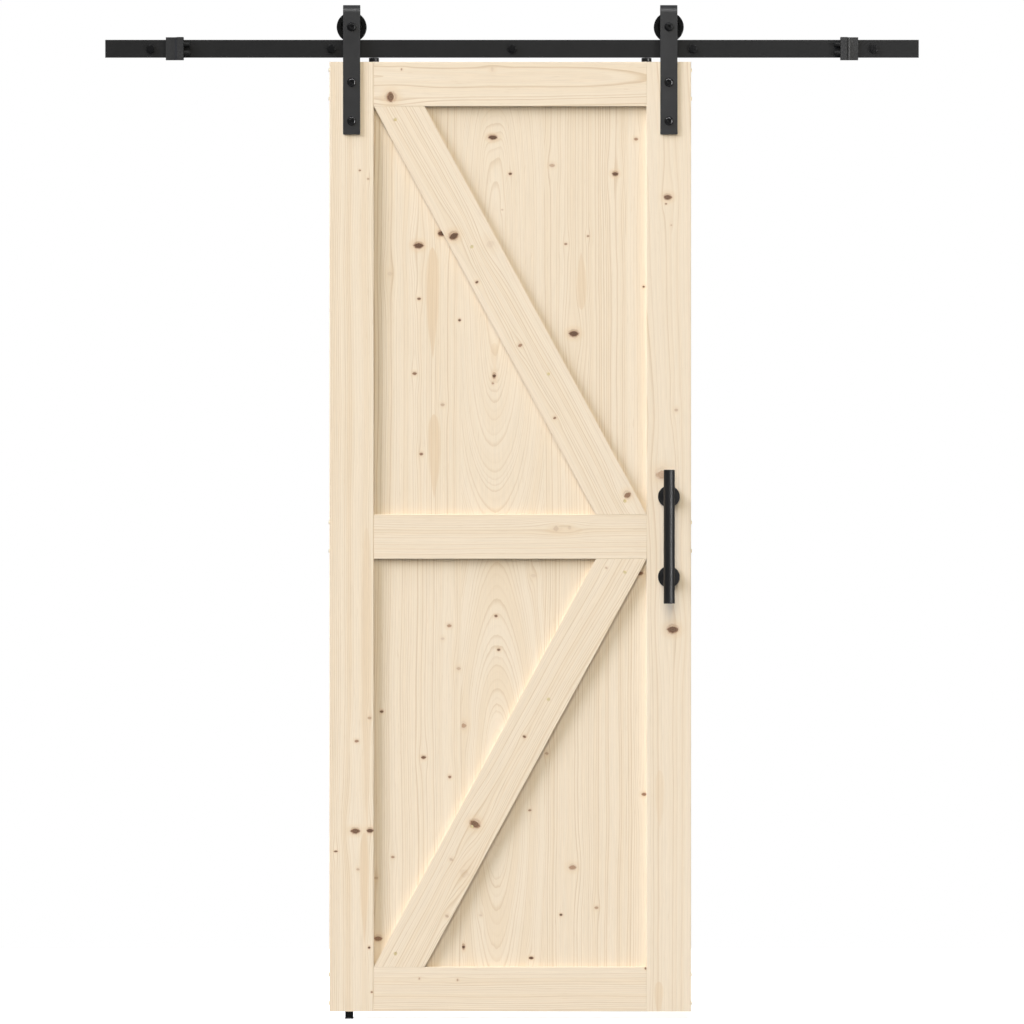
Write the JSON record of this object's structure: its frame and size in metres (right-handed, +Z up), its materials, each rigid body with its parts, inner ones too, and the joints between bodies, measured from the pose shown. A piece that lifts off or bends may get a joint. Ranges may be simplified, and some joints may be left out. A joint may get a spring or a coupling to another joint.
{
  "type": "sliding barn door",
  "caption": "Sliding barn door of framed, braced boards that hangs by strap hangers and grooved wheels from a flat wall rail, with stops, bar handle and floor guide.",
  "frame": {"origin": "on the wall plane, at the rear face of the middle spacer, on the axis of the rail's middle wall screw", "axes": "+X along the rail to the right as seen from the room, +Y back into the wall, +Z up"},
  "size_m": [1.8288, 0.1655, 2.3078],
  "materials": {
    "frame_pine": "planed spruce, unfinished, matt",
    "panel_pine": "planed spruce, unfinished, matt",
    "brace_pine": "planed spruce, unfinished, matt",
    "black_steel": "black powder coat, satin",
    "blackened_bolt": "blackened steel, satin",
    "handle_black": "smooth black powder coat",
    "wheel_black": "black nylon, satin",
    "bumper_rubber": "black moulded rubber",
    "guide_black": "black powder coat",
    "disc_black": "turned steel, blackened",
    "yellow_zinc": "yellow zinc plate",
    "zinc_steel": "bright zinc plate",
    "bright_steel": "polished bearing steel",
    "shield_black": "black bearing seal"
  },
  "bodies": {
    "track": {"track_rail": "black_steel", "wall_spacers": "black_steel", "lag_screws": "blackened_bolt", "stop_bracket_left": "black_steel", "stop_bracket_right": "black_steel", "stop_bumpers_left": "bumper_rubber", "stop_bumpers_right": "bumper_rubber", "stop_set_screws": "blackened_bolt", "floor_guide": "guide_black", "floor_guide_screws": "zinc_steel"},
    "door": {"left_stile": "frame_pine", "right_stile": "frame_pine", "top_rail": "frame_pine", "middle_rail": "frame_pine", "bottom_rail": "frame_pine", "upper_board_1": "panel_pine", "upper_board_2": "panel_pine", "upper_board_3": "panel_pine", "upper_board_4": "panel_pine", "lower_board_1": "panel_pine", "lower_board_2": "panel_pine", "lower_board_3": "panel_pine", "lower_board_4": "panel_pine", "upper_brace": "brace_pine", "lower_brace": "brace_pine", "frame_screws_left": "zinc_steel", "frame_screws_right": "zinc_steel", "upper_brace_screws": "yellow_zinc", "lower_brace_screws": "yellow_zinc", "hanger_strap_left": "black_steel", "hanger_strap_right": "black_steel", "strap_bolts_left": "blackened_bolt", "strap_bolts_right": "blackened_bolt", "strap_washers": "zinc_steel", "strap_nuts": "zinc_steel", "axle_bolt_left": "blackened_bolt", "axle_bolt_right": "blackened_bolt", "axle_sleeves": "zinc_steel", "axle_nuts": "zinc_steel", "inner_ring_left": "zinc_steel", "inner_ring_right": "zinc_steel", "anti_jump_disc_left": "disc_black", "anti_jump_disc_right": "disc_black", "anti_jump_screws": "zinc_steel", "handle_bar": "handle_black", "handle_posts": "handle_black", "handle_rosettes": "handle_black", "handle_bolts": "zinc_steel", "handle_washers": "zinc_steel"},
    "wheel_left": {"wheel_left": "wheel_black", "outer_ring_left": "zinc_steel", "bearing_balls_left": "bright_steel", "bearing_shields_left": "shield_black"},
    "wheel_right": {"wheel_right": "wheel_black", "outer_ring_right": "zinc_steel", "bearing_balls_right": "bright_steel", "bearing_shields_right": "shield_black"}
  },
  "joints": [
    {"name": "door_slide", "type": "slide", "parent": "track", "child": "door", "axis": [1, 0, 0], "range_m": [-0.343, 0.351]},
    {"name": "wheel_left_spin", "type": "hinge", "parent": "door", "child": "wheel_left", "pos_m": [-0.3604, -0.035, 0.0485], "axis": [0, 1, 0], "continuous": true},
    {"name": "wheel_right_spin", "type": "hinge", "parent": "door", "child": "wheel_right", "pos_m": [0.3524, -0.035, 0.0485], "axis": [0, 1, 0], "continuous": true}
  ],
  "couplings": [
    {"joint": "wheel_left_spin", "follows": "door_slide", "rad_per_m": 35.461},
    {"joint": "wheel_right_spin", "follows": "door_slide", "rad_per_m": 35.461}
  ]
}
